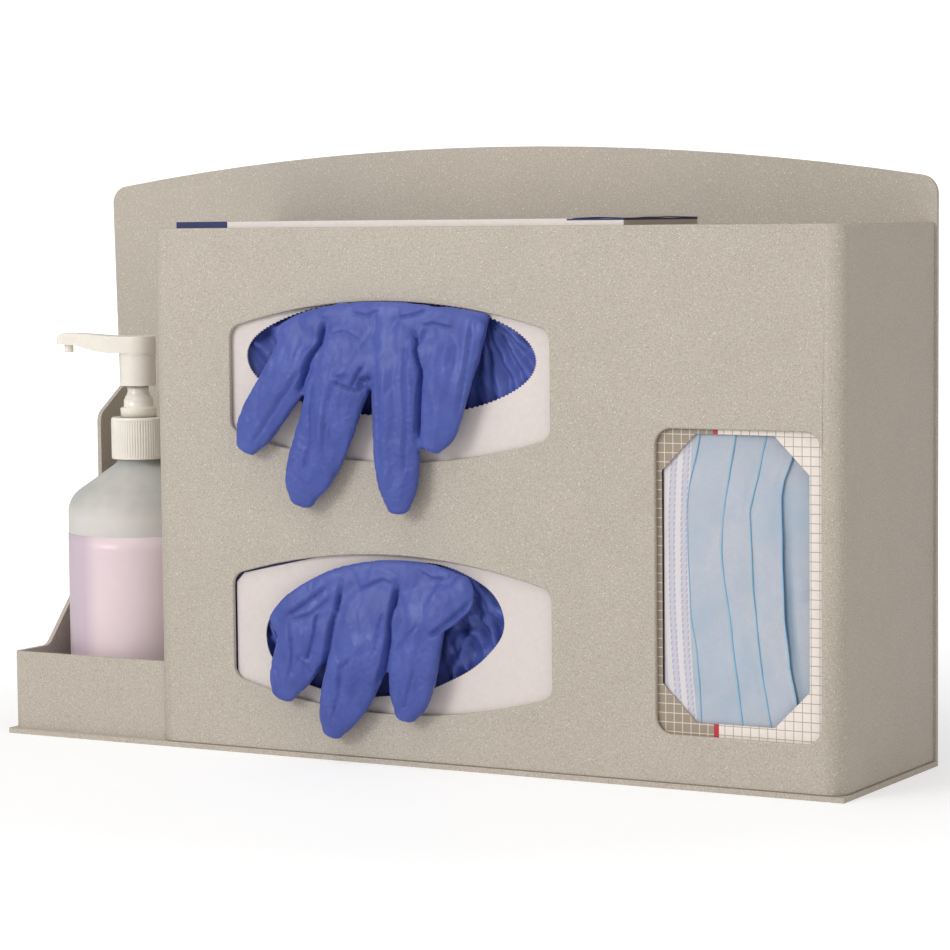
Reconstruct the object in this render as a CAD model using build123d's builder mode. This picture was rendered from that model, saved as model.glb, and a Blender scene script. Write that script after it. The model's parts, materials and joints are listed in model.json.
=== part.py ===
from build123d import *
import os
from math import atan2, cos, radians, sin, tan

os.makedirs("parts", exist_ok=True)

# Countertop or wall dispenser for two glove cartons, one mask carton and a pump bottle.
# Millimetres. +X to the right, +Y to the wall, +Z up. The origin is the centre of the
# base plate's underside.

# ------------------------------------------------------------------ driving sizes
# Sheet work
sheet = 2.4                    # thickness of the ABS sheet
lip = 1.3                      # how far the base plate stands out past the walls
base_corner = 2.5              # radius at the tray's corner of the base plate
outer_bend = 8.0               # outer radius of the shell's two heat bends

# Cartons of gloves and their room in the shell
board = 0.6                    # carton board
seat_gap = 0.3                 # soft goods to their neighbours
carton_length = 243.0
carton_depth = 76.0
carton_height = 127.0
carton_proud = 3.0             # how far the two stacked cartons stand above the front wall
carton_end_gap = 1.6           # carton to divider
carton_far_gap = 11.3          # carton to the shell's left wall
carton_mouth_side = 8.2        # mouth's end to the window's end
carton_mouth_half_height = 27.0
carton_mouth_drop = 1.0        # mouth's centre below the carton's middle
torn_mouth_half_width = 66.0   # lower carton, opened wider and askew
torn_mouth_half_height = 32.0
torn_mouth_shift = -5.0        # from the window's centre
torn_mouth_drop = 1.9
torn_mouth_tilt = 8.0          # degrees
stack_ease = 4.0               # bevelled upright edges of a pack of gloves
flap_length = 29.0
flap_width = 73.0
flap_taper = 3.0               # how far its free corners are cut back
flap_lean = 3.0                # degrees off the carton's top, folded back over it
flap_gap = 0.3                 # flap's crease to the carton's end
flap_lift = 0.1                # flap's underside above the carton's top

# Mask carton and its bay
mask_carton_width = 95.0
mask_carton_depth = 90.0
mask_carton_height = 187.0
mask_carton_gap = 1.6          # carton to divider
mask_carton_far_gap = 4.0      # carton to the shell's right wall
bay_slack = 14.6               # deepest carton to the back panel
mask_mouth_side = 4.35         # mouth to the window's side
mask_mouth_head = 4.0          # mouth to the window's top and bottom
mask_mouth_chamfer = 17.0
mask_mouth_shift = 1.25        # mouth's centre to the right of the carton's middle
mask_mouth_drop = 0.5          # mouth's centre below the carton's middle
mask_slack = 3.8               # both sides of the masks together
mask_headroom = 13.8           # above the masks
mask_ply = 0.9                 # folded plies of one mask
mask_pleats = (-16.5, 2.5, 17.5, 28.5)   # from the carton's middle
mask_pleat_step = 1.1

# Windows in the front wall
glove_window_side = 34.3       # carton's end to the window's end
glove_window_shift = -2.95     # window's centre from the carton's middle
glove_window_height = 75.2     # at the middle
glove_window_end = 49.4        # height of the straight ends
glove_window_corner = 7.0
glove_window_drops = (4.1, 11.9)   # window's centre below the carton's middle
mask_window_side = 7.0         # carton's side to the window's side
mask_window_head = 24.5        # carton's top and bottom to the window's
mask_window_corner = 8.0
mask_window_shift = 3.35       # window's centre from the carton's middle
mask_window_drop = 2.3

# Back panel
panel_shoulder = 20.5          # height of its two shoulders above the front wall
panel_rise = 18.0              # height of the arched top above the shoulders
panel_corner = 9.0             # radius of the shoulders
panel_overhang = 0.5           # at the tray end, past the base plate, at the foot
panel_flare = 6.0              # how far the tray end leans out at shoulder height
wall_hole_radius = 2.6
wall_hole_span = 304.8         # between screw holes, along X
wall_hole_rise = 152.4         # between screw holes, along Z
wall_hole_middle = 124.6       # centre of the hole pattern above the base plate

# Bottle tray
tray_setback = 4.8             # tray front wall behind the base plate's front edge
tray_bend = 4.0                # outer radius of the tray's corner bend
tray_lip_height = 38.7         # front wall of the tray above the base plate
tray_run = 27.2                # length of the level part of the side wall's edge
tray_slope = 48.0              # degrees, first rise of the side wall's edge
tray_post = 28.7               # width of the upright part of the side wall
tray_brace = 34.0              # degrees, last rise of the side wall's edge
tray_side_height = 173.5       # side wall where it meets the back panel
tray_ease = 7.0                # radius of the rounded edge corners

# Gloves drawn out of the cartons
finger_thickness = 9.0
finger_clearance = 1.0         # fingers to the front wall
palm_width = 112.0
palm_height = 34.0
torn_palm_width = 96.0         # lower glove, drawn out less
torn_palm_height = 36.0
soft_bevel = 0.6               # corners cut off a glove's outline, as a share of half its width

# Bottle and pump
bottle_radius = 36.5
bottle_wall = 1.2
bottle_side_gap = 7.9          # bottle to the bay's side walls
bottle_front_gap = 7.8         # bottle to the tray's front wall
bottle_shoulder = 115.2        # height of the sharp shoulder above the base plate
bottle_shoulder_round = 14.0
bottle_neck_foot = 132.4       # where the slope meets the neck
bottle_foot_bevel = 1.5
neck_radius = 11.0
fill_height = 103.6            # liquid surface above the base plate
fill_gap = 0.3                 # liquid to the parts hanging in it
cap_radius = 14.0
cap_height = 21.0
cap_top = 155.6                # above the base plate
cap_roof = 1.6
cap_wall = 1.6
cap_bevel = 0.4
cap_hole_radius = 7.0
flange_thickness = 2.6         # with the seal moulded to its underside
barrel_radius = 6.6
barrel_bore = 5.2
barrel_length = 57.0           # flange top to the foot of the barrel
tail_radius = 4.0
tail_bore = 2.1
tail_length = 14.0
tail_socket = 11.0             # length of the dip tube held in the tail
barrel_floor = 1.0             # thickness of the barrel's foot
collar_step_radius = 9.2
collar_step = 5.0
collar_ring_radius = 7.3
collar_ring = 4.0
collar_tube_radius = 5.5
collar_height = 16.0           # whole height above the cap
collar_plug = 8.0              # length below the cap's top
stem_radius = 3.4
stem_bore = 1.8
running_gap = 0.05             # radial, sliding and turning fits of the pump
piston_length = 6.0
piston_top = 9.0               # piston's top below the flange's top
tube_radius = 2.9
tube_bore = 2.1
tube_foot_gap = 3.0            # dip tube's foot above the bottle's floor
skirt_radius = 9.1
skirt_height = 16.5
skirt_wall = 1.2
head_radius = 9.4
head_roof = 0.5                # skirt's top above the stem
boss_radius = 5.0
head_height = 8.5
boss_depth = 4.5               # length of the stem held in the head
spout_reach = 42.8
spout_tip_width = 7.6
spout_turn = 18.0              # degrees in front of straight left
spout_rise = 1.6               # top of the spout above the head's top, near the tip
spout_tip_foot = 4.2           # underside of the tip above the skirt
nozzle_radius = 2.3
nozzle_bore = 1.2
nozzle_length = 4.0

# ------------------------------------------------------------------ places worked out
wall_height = 2 * carton_height - carton_proud      # front wall, above the base plate
glove_bay = carton_far_gap + carton_length + carton_end_gap
mask_bay = mask_carton_gap + mask_carton_width + mask_carton_far_gap
bottle_bay = 2 * (bottle_radius + bottle_side_gap)
shell_width = 3 * sheet + glove_bay + mask_bay
base_length = 2 * lip + sheet + bottle_bay + shell_width
base_depth = lip + 2 * sheet + seat_gap + mask_carton_depth + bay_slack
floor_z = sheet                                     # top of the base plate
wall_top = floor_z + wall_height
back_y = base_depth / 2                             # rear face of the back panel
panel_y = back_y - sheet                            # front face of the back panel
front_y = -base_depth / 2 + lip                     # outer face of the front wall
inside_y = front_y + sheet                          # inner face of the front wall
right_x = base_length / 2 - lip                     # outer face of the shell's right wall
left_x = right_x - shell_width                      # outer face of the shell's left wall
divider_x = right_x - sheet - mask_bay              # divider's mask side
tray_x = -base_length / 2 + lip                     # outer face of the tray's side wall
tray_y = -base_depth / 2 + tray_setback             # outer face of the tray's front wall
bottle_x = left_x - bottle_bay / 2
bottle_y = tray_y + sheet + bottle_front_gap + bottle_radius
carton_front = inside_y + seat_gap
carton_x = divider_x - sheet - carton_end_gap - carton_length / 2
carton_floors = (floor_z, floor_z + carton_height)
carton_end = carton_x + carton_length / 2
stack_top = floor_z + 2 * carton_height
stack_front = carton_front + board + seat_gap       # gloves and masks behind the carton's face
glove_window_x = carton_x + glove_window_shift
glove_window_half = carton_length / 2 - glove_window_side
mask_carton_x = divider_x + mask_carton_gap + mask_carton_width / 2
mask_middle = floor_z + mask_carton_height / 2
mask_window_x = mask_carton_x + mask_window_shift
mask_window_z = mask_middle - mask_window_drop
mask_window_width = mask_carton_width - 2 * mask_window_side
mask_window_height = mask_carton_height - 2 * mask_window_head
mask_width = mask_carton_width - 2 * board - mask_slack
mask_length = mask_carton_height - 2 * board - mask_headroom
flap_pivot = (carton_end + flap_gap + board / 2, carton_front + carton_depth / 2,
              stack_top + flap_lift + board / 2)
cap_top_z = floor_z + cap_top
flange_top = cap_top_z - cap_roof
flange_foot = flange_top - flange_thickness
barrel_foot = flange_top - barrel_length
tail_foot = barrel_foot - tail_length
bottle_floor = floor_z + bottle_wall
collar_top = cap_top_z + collar_height
piston_z = flange_top - piston_top                  # top of the piston at rest
skirt_foot = collar_top                             # pump at rest
skirt_top = skirt_foot + skirt_height
axis_plane = Plane((bottle_x, bottle_y, 0), x_dir=(1, 0, 0), z_dir=(0, -1, 0))
carton_plane = Plane.XZ.offset(-carton_front)       # faces -Y, on the cartons' fronts
pump_axis = Axis((bottle_x, bottle_y, 0), (0, 0, 1))


# ------------------------------------------------------------------ shared operations
def bent_sheet(outer_corners, inner_corners, bend):
    """Face of a bent sheet's edge, from its outer and inner corner points."""
    with BuildSketch(Plane.XY.offset(floor_z), mode=Mode.PRIVATE) as section:
        with BuildLine():
            outer = FilletPolyline(*outer_corners, radius=bend)
            inner = FilletPolyline(*inner_corners, radius=bend - sheet)
            Line(outer @ 0, inner @ 0)
            Line(outer @ 1, inner @ 1)
        make_face()
    return section.sketch


def turn(profile, mode=Mode.ADD):
    """Revolve a closed outline of (radius, height) points about the pump's axis."""
    with BuildSketch(axis_plane, mode=Mode.PRIVATE) as section:
        with BuildLine():
            Polyline(*profile, close=True)
        make_face()
    revolve(section.sketch, axis=pump_axis, mode=mode)


def bored(radius, bore, foot, top):
    """Outline of a plain ring: outer radius, bore, lower and upper height."""
    return [(bore, foot), (radius, foot), (radius, top), (bore, top)]


def finger(mouth, out, root, tip, half_width):
    """Flattened finger, from its root to its blunt tip, both counted from the mouth."""
    along = Vector(tip[0] - root[0], 0, tip[1] - root[1])
    place = Plane((mouth[0] + root[0], finger_y - out, mouth[1] + root[1]),
                  x_dir=along, z_dir=(0, -1, 0))
    with BuildSketch(place, mode=Mode.PRIVATE) as outline:
        with BuildSketch(mode=Mode.PRIVATE) as flat:
            Rectangle(along.length + half_width, 2 * half_width,
                      align=(Align.MIN, Align.CENTER))
            chamfer(flat.vertices().group_by(Axis.X)[-1], soft_bevel * half_width)
        add(flat.sketch)
    extrude(outline.sketch, amount=finger_thickness / 2, both=True)


def palm(mouth, shift, width, height):
    """Bunched palm: a plug through the carton's mouth."""
    place = Plane((mouth[0] + shift[0], palm_y, mouth[1] + shift[1]), x_dir=(1, 0, 0),
                  z_dir=(0, -1, 0))
    with BuildSketch(place, mode=Mode.PRIVATE) as outline:
        with BuildSketch(mode=Mode.PRIVATE) as flat:
            Rectangle(width, height)
            chamfer(flat.vertices(), soft_bevel * height / 2)
        add(flat.sketch)
    extrude(outline.sketch, amount=palm_y - finger_y + finger_thickness / 2)


# ------------------------------------------------------------------ sheet work
with BuildPart() as base_plate:
    with BuildSketch() as outline:
        Rectangle(base_length, base_depth)
        tray_end, shell_end = outline.vertices().group_by(Axis.Y)[0].sort_by(Axis.X)
        fillet(tray_end, base_corner)
        fillet(shell_end, outer_bend + lip)
    extrude(amount=sheet)

panel_left = -base_length / 2 - panel_overhang
panel_top_left = panel_left - panel_flare
panel_right = base_length / 2
panel_middle = (panel_top_left + panel_right) / 2
shoulder_z = wall_top + panel_shoulder
with BuildPart() as back_panel:
    with BuildSketch(Plane.XZ.offset(-panel_y)) as outline:
        with BuildLine():
            Line((panel_top_left, shoulder_z), (panel_left, floor_z))
            Line((panel_left, floor_z), (panel_right, floor_z))
            Line((panel_right, floor_z), (panel_right, shoulder_z))
            ThreePointArc((panel_right, shoulder_z),
                          (panel_middle, shoulder_z + panel_rise),
                          (panel_top_left, shoulder_z))
        make_face()
        fillet(outline.vertices().group_by(Axis.Y)[-1], panel_corner)
        with Locations((0, floor_z + wall_hole_middle)):
            with GridLocations(wall_hole_span, wall_hole_rise, 2, 2):
                Circle(wall_hole_radius, mode=Mode.SUBTRACT)
    extrude(amount=-sheet)

with BuildPart() as front_shell:
    extrude(bent_sheet(
        [(left_x, panel_y), (left_x, front_y), (right_x, front_y), (right_x, panel_y)],
        [(left_x + sheet, panel_y), (left_x + sheet, inside_y),
         (right_x - sheet, inside_y), (right_x - sheet, panel_y)],
        outer_bend), amount=wall_height)
    for floor, drop in zip(carton_floors, glove_window_drops):
        window_plane = Plane((glove_window_x, front_y, floor + carton_height / 2 - drop),
                             x_dir=(1, 0, 0), z_dir=(0, -1, 0))
        half, end, bow = glove_window_half, glove_window_end / 2, glove_window_height / 2
        with BuildSketch(window_plane) as window:
            with BuildLine():
                ThreePointArc((-half, end), (0, bow), (half, end))
                Line((half, end), (half, -end))
                ThreePointArc((half, -end), (0, -bow), (-half, -end))
                Line((-half, -end), (-half, end))
            make_face()
            fillet(window.vertices(), glove_window_corner)
        extrude(amount=-sheet, mode=Mode.SUBTRACT)
    with BuildSketch(Plane((mask_window_x, front_y, mask_window_z),
                           x_dir=(1, 0, 0), z_dir=(0, -1, 0))):
        RectangleRounded(mask_window_width, mask_window_height, mask_window_corner)
    extrude(amount=-sheet, mode=Mode.SUBTRACT)

with BuildPart() as divider_panel:
    with BuildSketch(Plane.XY.offset(floor_z)):
        with Locations((divider_x, inside_y)):
            Rectangle(sheet, panel_y - inside_y, align=(Align.MAX, Align.MIN))
    extrude(amount=wall_height)

lip_z = floor_z + tray_lip_height
run_end = tray_y + tray_run
post_y = panel_y - tray_post
post_foot = lip_z + (post_y - run_end) * tan(radians(tray_slope))
post_top = floor_z + tray_side_height - tray_post * tan(radians(tray_brace))
shell_middle = ((left_x + right_x) / 2, (front_y + panel_y) / 2)
with BuildPart() as bottle_tray:
    with BuildSketch(Plane.XY.offset(floor_z)):
        add(bent_sheet(
            [(tray_x, panel_y), (tray_x, tray_y), (left_x + outer_bend, tray_y)],
            [(tray_x + sheet, panel_y), (tray_x + sheet, tray_y + sheet),
             (left_x + outer_bend, tray_y + sheet)],
            tray_bend))
        with Locations(shell_middle):
            RectangleRounded(shell_width, panel_y - front_y, outer_bend, mode=Mode.SUBTRACT)
    extrude(amount=tray_side_height)
    with BuildSketch(Plane.YZ.offset(tray_x)):
        with BuildLine():
            FilletPolyline((tray_y, floor_z), (tray_y, lip_z), (run_end, lip_z),
                           (post_y, post_foot), (post_y, post_top),
                           (panel_y, floor_z + tray_side_height), (panel_y, floor_z),
                           radius=(0, 0, tray_ease, tray_ease, tray_ease, 0, 0), close=True)
        make_face()
    extrude(amount=left_x + outer_bend - tray_x, mode=Mode.INTERSECT)


# ------------------------------------------------------------------ cartons and gloves
def carton(x, floor, length, depth, height):
    """Closed carton of folded board, its front on the cartons' plane."""
    for wall, mode in ((0, Mode.ADD), (board, Mode.SUBTRACT)):
        with BuildSketch(Plane.XY.offset(floor + wall), mode=Mode.PRIVATE) as outline:
            with Locations((x, carton_front + wall)):
                Rectangle(length - 2 * wall, depth - 2 * wall, align=(Align.CENTER, Align.MIN))
        extrude(outline.sketch, amount=height - 2 * wall, mode=mode)


def stack(x, floor, length, depth, height):
    """Soft pack filling a carton, with eased edges."""
    margin = board + seat_gap
    with BuildSketch(Plane.XY.offset(floor + board), mode=Mode.PRIVATE) as outline:
        with Locations((x, stack_front)):
            Rectangle(length - 2 * margin, depth - 2 * margin, align=(Align.CENTER, Align.MIN))
        chamfer(outline.vertices(), stack_ease)
    extrude(outline.sketch, amount=height - board - margin)


lower_floor, upper_floor = carton_floors
upper_mouth = (glove_window_x, upper_floor + carton_height / 2 - carton_mouth_drop)
lower_mouth = (glove_window_x + torn_mouth_shift,
               lower_floor + carton_height / 2 - torn_mouth_drop)
with BuildPart() as glove_carton_lower:
    carton(carton_x, lower_floor, carton_length, carton_depth, carton_height)
    with BuildSketch(carton_plane):
        with Locations(lower_mouth):
            Ellipse(torn_mouth_half_width, torn_mouth_half_height, rotation=torn_mouth_tilt)
    extrude(amount=-board, mode=Mode.SUBTRACT)

with BuildPart() as glove_carton_upper:
    carton(carton_x, upper_floor, carton_length, carton_depth, carton_height)
    with BuildSketch(carton_plane):
        with Locations(upper_mouth):
            Ellipse(glove_window_half - carton_mouth_side, carton_mouth_half_height)
    extrude(amount=-board, mode=Mode.SUBTRACT)

with BuildPart() as glove_stack_lower:
    stack(carton_x, lower_floor, carton_length, carton_depth, carton_height)

with BuildPart() as glove_stack_upper:
    stack(carton_x, upper_floor, carton_length, carton_depth, carton_height)

with BuildPart() as carton_end_flap:
    flap_plane = Plane(flap_pivot, x_dir=(-cos(radians(flap_lean)), 0, sin(radians(flap_lean))),
                       z_dir=(sin(radians(flap_lean)), 0, cos(radians(flap_lean))))
    with BuildSketch(flap_plane.offset(-board / 2)):
        with BuildLine():
            Polyline((-board / 2, -flap_width / 2), (flap_length, flap_taper - flap_width / 2),
                     (flap_length, flap_width / 2 - flap_taper), (-board / 2, flap_width / 2),
                     close=True)
        make_face()
    extrude(amount=board)

finger_y = front_y - finger_clearance - finger_thickness / 2
palm_y = carton_front + board
with BuildPart() as dispensed_glove_upper:
    palm(upper_mouth, (-5, 3), palm_width, palm_height)
    finger(upper_mouth, 0, (-40, 6), (-72, -36), 9.5)
    finger(upper_mouth, 1, (-19, 0), (-41, -58.5), 10.5)
    finger(upper_mouth, 2, (11, 0), (12, -60.5), 10)
    finger(upper_mouth, 1, (41, 9), (30.5, -31.5), 10)

with BuildPart() as dispensed_glove_lower:
    palm(lower_mouth, (-2, 3), torn_palm_width, torn_palm_height)
    finger(lower_mouth, 0, (-34, 2), (-49.5, -26), 9.5)
    finger(lower_mouth, 1, (-5, 0), (-20, -43), 9.5)
    finger(lower_mouth, 2, (25, 2), (18, -32), 9.5)
    finger(lower_mouth, 1, (44, 22), (33.5, 8), 8)

# ------------------------------------------------------------------ mask carton
with BuildPart() as mask_carton:
    carton(mask_carton_x, floor_z, mask_carton_width, mask_carton_depth, mask_carton_height)
    with BuildSketch(carton_plane) as outline:
        with Locations((mask_carton_x + mask_mouth_shift, mask_middle - mask_mouth_drop)):
            Rectangle(mask_window_width - 2 * mask_mouth_side,
                      mask_window_height - 2 * mask_mouth_head)
        chamfer(outline.vertices(), mask_mouth_chamfer)
    extrude(amount=-board, mode=Mode.SUBTRACT)

mask_floor = floor_z + board
mask_depth = mask_ply + mask_pleat_step * len(mask_pleats)
mask_back = stack_front + mask_depth
with BuildPart() as mask_stack:
    with BuildSketch(Plane.XY.offset(mask_floor)):
        with Locations((mask_carton_x, mask_back)):
            Rectangle(mask_width, carton_front + mask_carton_depth - board - seat_gap - mask_back,
                      align=(Align.CENTER, Align.MIN))
    extrude(amount=mask_length)

mask_edges = (-mask_width / 2, *mask_pleats, mask_width / 2)
with BuildPart() as front_mask:
    for pleat, (start, stop) in enumerate(zip(mask_edges, mask_edges[1:])):
        front = stack_front + mask_pleat_step * pleat
        overlap = 0 if pleat == len(mask_pleats) else 2 * mask_ply
        with BuildSketch(Plane.XY.offset(mask_floor)):
            with BuildLine():
                Polyline((mask_carton_x + start, front),
                         (mask_carton_x + stop + overlap, front),
                         (mask_carton_x + stop + overlap, mask_back),
                         (mask_carton_x + start, mask_back), close=True)
            make_face()
        extrude(amount=mask_length)

# ------------------------------------------------------------------ bottle
slope = atan2(bottle_neck_foot - bottle_shoulder, bottle_radius - neck_radius)
wall_drop = bottle_wall * tan((radians(90) - slope) / 2)
inner_radius = bottle_radius - bottle_wall
inner_neck = neck_radius - bottle_wall
inner_round = bottle_shoulder_round - bottle_wall
inner_shoulder = floor_z + bottle_shoulder - wall_drop
shoulder = floor_z + bottle_shoulder
neck_foot = floor_z + bottle_neck_foot


def eased_shoulder(radius, corner_z, rounding, steps):
    """Points round a shoulder's corner, from the wall to the slope."""
    sweep_angle = radians(90) - slope
    foot = corner_z - rounding * tan(sweep_angle / 2)
    return [(radius - rounding * (1 - cos(sweep_angle * step / steps)),
             foot + rounding * sin(sweep_angle * step / steps)) for step in range(steps + 1)]


with BuildPart() as bottle:
    turn([(0, floor_z), (bottle_radius - bottle_foot_bevel, floor_z),
          (bottle_radius, floor_z + bottle_foot_bevel),
          *eased_shoulder(bottle_radius, shoulder, bottle_shoulder_round, 2),
          (neck_radius, neck_foot), (neck_radius, flange_foot), (inner_neck, flange_foot),
          (inner_neck, neck_foot - wall_drop),
          *reversed(eased_shoulder(inner_radius, inner_shoulder, inner_round, 1)),
          (inner_radius, bottle_floor), (0, bottle_floor)])

tube_foot = bottle_floor + tube_foot_gap
tube_top = tail_foot + tail_socket
fill_top = floor_z + fill_height
with BuildPart() as sanitiser_fill:
    turn(bored(inner_radius, 0, bottle_floor, fill_top))
    turn(bored(barrel_radius + fill_gap, 0, tail_foot - fill_gap, fill_top), Mode.SUBTRACT)
    turn(bored(tube_radius + fill_gap, 0, tube_foot - fill_gap, fill_top), Mode.SUBTRACT)

# ------------------------------------------------------------------ pump
with BuildPart() as closure_cap:
    turn([(cap_hole_radius, cap_top_z - cap_roof), (cap_radius - cap_wall, cap_top_z - cap_roof),
          (cap_radius - cap_wall, cap_top_z - cap_height), (cap_radius, cap_top_z - cap_height),
          (cap_radius, cap_top_z - cap_bevel), (cap_radius - cap_bevel, cap_top_z),
          (cap_hole_radius, cap_top_z)])

with BuildPart() as pump_housing:
    turn([(barrel_bore, flange_top), (neck_radius, flange_top), (neck_radius, flange_foot),
          (barrel_radius, flange_foot), (barrel_radius, barrel_foot), (tail_radius, barrel_foot),
          (tail_radius, tail_foot), (tube_radius, tail_foot), (tube_radius, tube_top),
          (tail_bore, tube_top), (tail_bore, barrel_foot + barrel_floor),
          (barrel_bore, barrel_foot + barrel_floor)])

with BuildPart() as pump_collar:
    turn([(stem_radius + running_gap, cap_top_z - collar_plug),
          (barrel_bore, cap_top_z - collar_plug), (barrel_bore, cap_top_z),
          (collar_step_radius, cap_top_z), (collar_step_radius, cap_top_z + collar_step),
          (collar_ring_radius, cap_top_z + collar_step),
          (collar_ring_radius, cap_top_z + collar_step + collar_ring),
          (collar_tube_radius, cap_top_z + collar_step + 1.5 * collar_ring),
          (collar_tube_radius, collar_top), (stem_radius + running_gap, collar_top)])

with BuildPart() as dip_tube:
    turn(bored(tube_radius, tube_bore, tube_foot, tube_top))

stem_top = skirt_top - head_roof
piston_foot = piston_z - piston_length
with BuildPart() as piston_stem:
    turn([(stem_bore, piston_foot), (barrel_bore - running_gap, piston_foot),
          (barrel_bore - running_gap, piston_z), (stem_radius, piston_z),
          (stem_radius, stem_top), (stem_bore, stem_top)])

spout_heading = Vector(-cos(radians(spout_turn)), -sin(radians(spout_turn)), 0)
side_plane = Plane((bottle_x, bottle_y, skirt_top), x_dir=spout_heading,
                   z_dir=spout_heading.cross(Vector(0, 0, 1)))
plan_plane = Plane((bottle_x, bottle_y, skirt_top), x_dir=spout_heading, z_dir=(0, 0, 1))
tip_half = spout_tip_width / 2
head_thickness = head_height + spout_rise
with BuildPart() as actuator_head:
    with BuildSketch(plan_plane):
        Circle(head_radius)
        with Locations((spout_reach - tip_half, 0)):
            Circle(tip_half)
        make_hull()
    extrude(amount=head_thickness)
    with BuildSketch(side_plane):
        with BuildLine():
            top = Spline((-head_radius, head_height), (head_radius, head_height),
                         (0.85 * spout_reach, head_thickness),
                         tangents=[(1, 0), (1, 0)])
            nose = ThreePointArc(top @ 1, (0.95 * spout_reach, 0.93 * head_thickness),
                                 (spout_reach, spout_tip_foot))
            sole = Line(nose @ 1, (0.78 * spout_reach, spout_tip_foot))
            belly = Spline(sole @ 1, (0.5 * spout_reach, 0.26 * spout_tip_foot),
                           (head_radius, 0), tangents=[(-1, -0.2), (-1, 0)])
            Polyline(belly @ 1, (-head_radius, 0), top @ 0)
        make_face()
    extrude(amount=head_radius, both=True, mode=Mode.INTERSECT)
    inner_skirt = skirt_radius - skirt_wall
    turn([(0, skirt_top), (skirt_radius, skirt_top), (skirt_radius, skirt_foot),
          (inner_skirt, skirt_foot), (inner_skirt, skirt_top - head_roof),
          (boss_radius, skirt_top - head_roof), (boss_radius, stem_top - boss_depth),
          (stem_radius + running_gap, stem_top - boss_depth),
          (stem_radius + running_gap, stem_top), (0, stem_top)])

nozzle_place = side_plane.from_local_coords((spout_reach - 1.7 * tip_half, spout_tip_foot, 0))
with BuildPart() as nozzle_tip:
    with BuildSketch(Plane(nozzle_place, z_dir=(0, 0, -1))):
        Circle(nozzle_radius)
        Circle(nozzle_bore, mode=Mode.SUBTRACT)
    extrude(amount=nozzle_length)

# ------------------------------------------------------------------ hand over
pieces = {
    "base_plate": base_plate,
    "back_panel": back_panel,
    "front_shell": front_shell,
    "divider_panel": divider_panel,
    "bottle_tray": bottle_tray,
    "glove_carton_lower": glove_carton_lower,
    "glove_carton_upper": glove_carton_upper,
    "glove_stack_lower": glove_stack_lower,
    "glove_stack_upper": glove_stack_upper,
    "carton_end_flap": carton_end_flap,
    "dispensed_glove_upper": dispensed_glove_upper,
    "dispensed_glove_lower": dispensed_glove_lower,
    "mask_carton": mask_carton,
    "mask_stack": mask_stack,
    "front_mask": front_mask,
    "bottle": bottle,
    "sanitiser_fill": sanitiser_fill,
    "closure_cap": closure_cap,
    "pump_housing": pump_housing,
    "pump_collar": pump_collar,
    "dip_tube": dip_tube,
    "piston_stem": piston_stem,
    "actuator_head": actuator_head,
    "nozzle_tip": nozzle_tip,
}
for name, piece in pieces.items():
    piece.part.label = name
    export_step(piece.part, f"parts/{name}.step")
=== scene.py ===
import json
import math
import random

import bmesh
import bpy
import numpy as np
from mathutils import Matrix, Vector, noise


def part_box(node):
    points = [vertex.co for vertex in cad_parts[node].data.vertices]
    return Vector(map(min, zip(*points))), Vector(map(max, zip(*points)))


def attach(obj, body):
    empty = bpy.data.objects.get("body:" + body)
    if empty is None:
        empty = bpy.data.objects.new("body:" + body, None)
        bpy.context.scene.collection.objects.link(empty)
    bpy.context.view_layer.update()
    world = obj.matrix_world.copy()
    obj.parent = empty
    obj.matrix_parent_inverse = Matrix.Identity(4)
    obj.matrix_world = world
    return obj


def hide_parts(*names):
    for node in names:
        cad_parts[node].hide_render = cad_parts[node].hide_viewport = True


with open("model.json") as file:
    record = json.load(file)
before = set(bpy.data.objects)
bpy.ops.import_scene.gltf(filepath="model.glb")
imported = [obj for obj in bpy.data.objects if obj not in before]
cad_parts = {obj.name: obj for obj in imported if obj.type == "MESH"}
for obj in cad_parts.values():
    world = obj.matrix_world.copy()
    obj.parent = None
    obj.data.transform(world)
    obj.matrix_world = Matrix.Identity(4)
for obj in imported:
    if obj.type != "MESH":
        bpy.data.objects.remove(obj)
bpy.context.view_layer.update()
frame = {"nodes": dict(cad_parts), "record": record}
nodes = frame["nodes"]
MM = 0.001
random.seed(7)
noise.seed_set(7)                       # unset, noise_vector starts from the clock


# ---- camera, light, world
PLACE = (0.7981, -1.3813, 0.2590)       # the photograph's camera, found from its straight edges
YAW, PITCH, ROLL = 0.5134, 0.0846, -0.0097


def camera():
    data = bpy.data.cameras.new("camera")
    data.sensor_width = 36
    data.lens = 125.57
    data.shift_x = -0.0119
    data.shift_y = 0.0208
    data.clip_start = 0.05
    data.clip_end = 20
    forward = Vector((-math.sin(YAW) * math.cos(PITCH), math.cos(YAW) * math.cos(PITCH),
                      -math.sin(PITCH)))
    level = Vector((math.cos(YAW), math.sin(YAW), 0))
    side = level * math.cos(ROLL) + level.cross(forward) * math.sin(ROLL)
    up = side.cross(forward)
    turn = Matrix((side, up, -forward)).transposed()
    cam = bpy.data.objects.new("camera", data)
    cam.matrix_world = Matrix.Translation(PLACE) @ turn.to_4x4()
    bpy.context.scene.collection.objects.link(cam)
    bpy.context.scene.camera = cam


def lamp(name, at, to, size, power, colour=(1, 1, 1)):
    data = bpy.data.lights.new(name, "AREA")
    data.shape = "RECTANGLE"
    data.size, data.size_y = size
    data.energy = power
    data.color = colour
    obj = bpy.data.objects.new(name, data)
    obj.location = at
    obj.rotation_euler = (Vector(to) - Vector(at)).to_track_quat("-Z", "Y").to_euler()
    bpy.context.scene.collection.objects.link(obj)


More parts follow.
